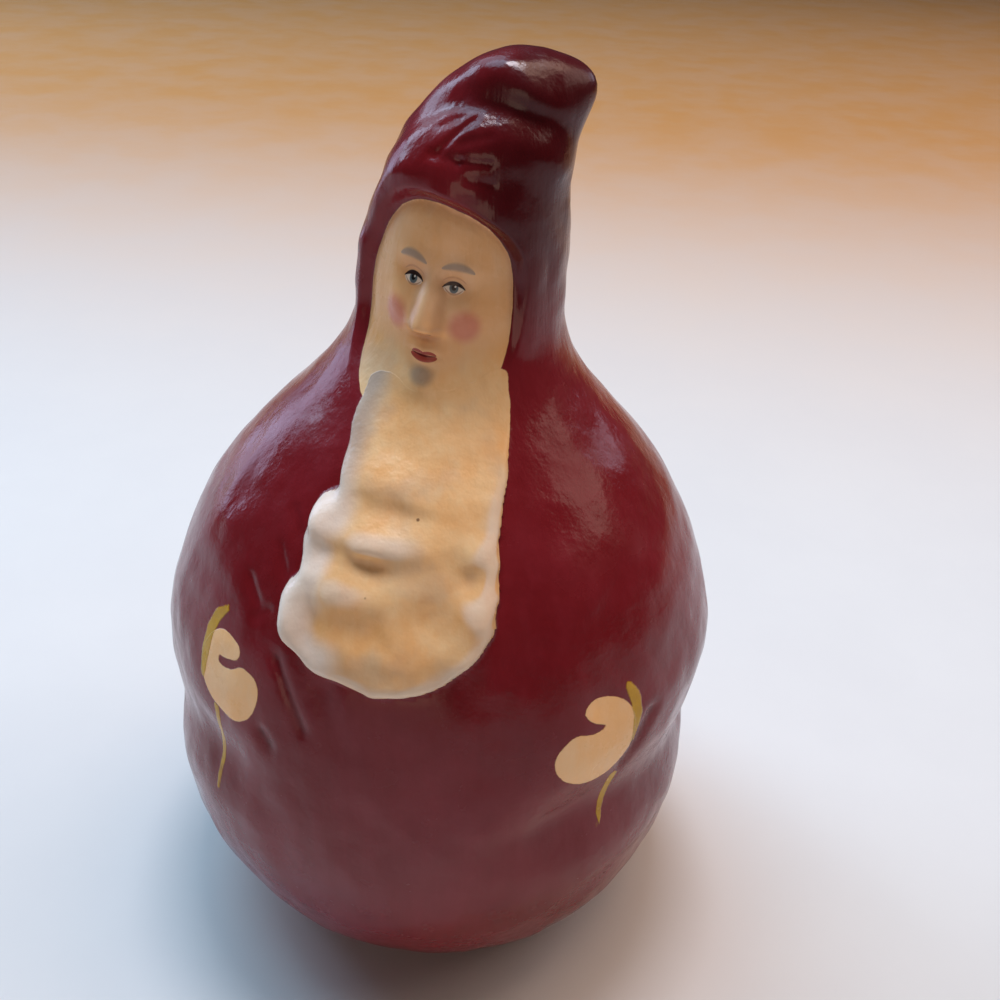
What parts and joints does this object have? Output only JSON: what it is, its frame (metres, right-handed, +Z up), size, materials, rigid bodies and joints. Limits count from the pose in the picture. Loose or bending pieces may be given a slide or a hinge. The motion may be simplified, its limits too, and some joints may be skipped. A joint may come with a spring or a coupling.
{
  "type": "gourd santa figure",
  "caption": "Bottle gourd painted as a bearded figure in a hooded red robe, its curved neck forming a bent hat; a hand-painted ornament that stands on its flat base.",
  "frame": {"origin": "centre of the flat foot, on the surface the figure stands on", "axes": "+Z up along the gourd, the figure faces -Y, and the hat bends towards +X"},
  "size_m": [0.092, 0.092, 0.146],
  "materials": {
    "painted_gourd": "dried gourd shell under gloss burgundy paint, with a cream beard and flesh-coloured face"
  },
  "bodies": {
    "root": {"gourd_santa": "painted_gourd"}
  },
  "joints": []
}
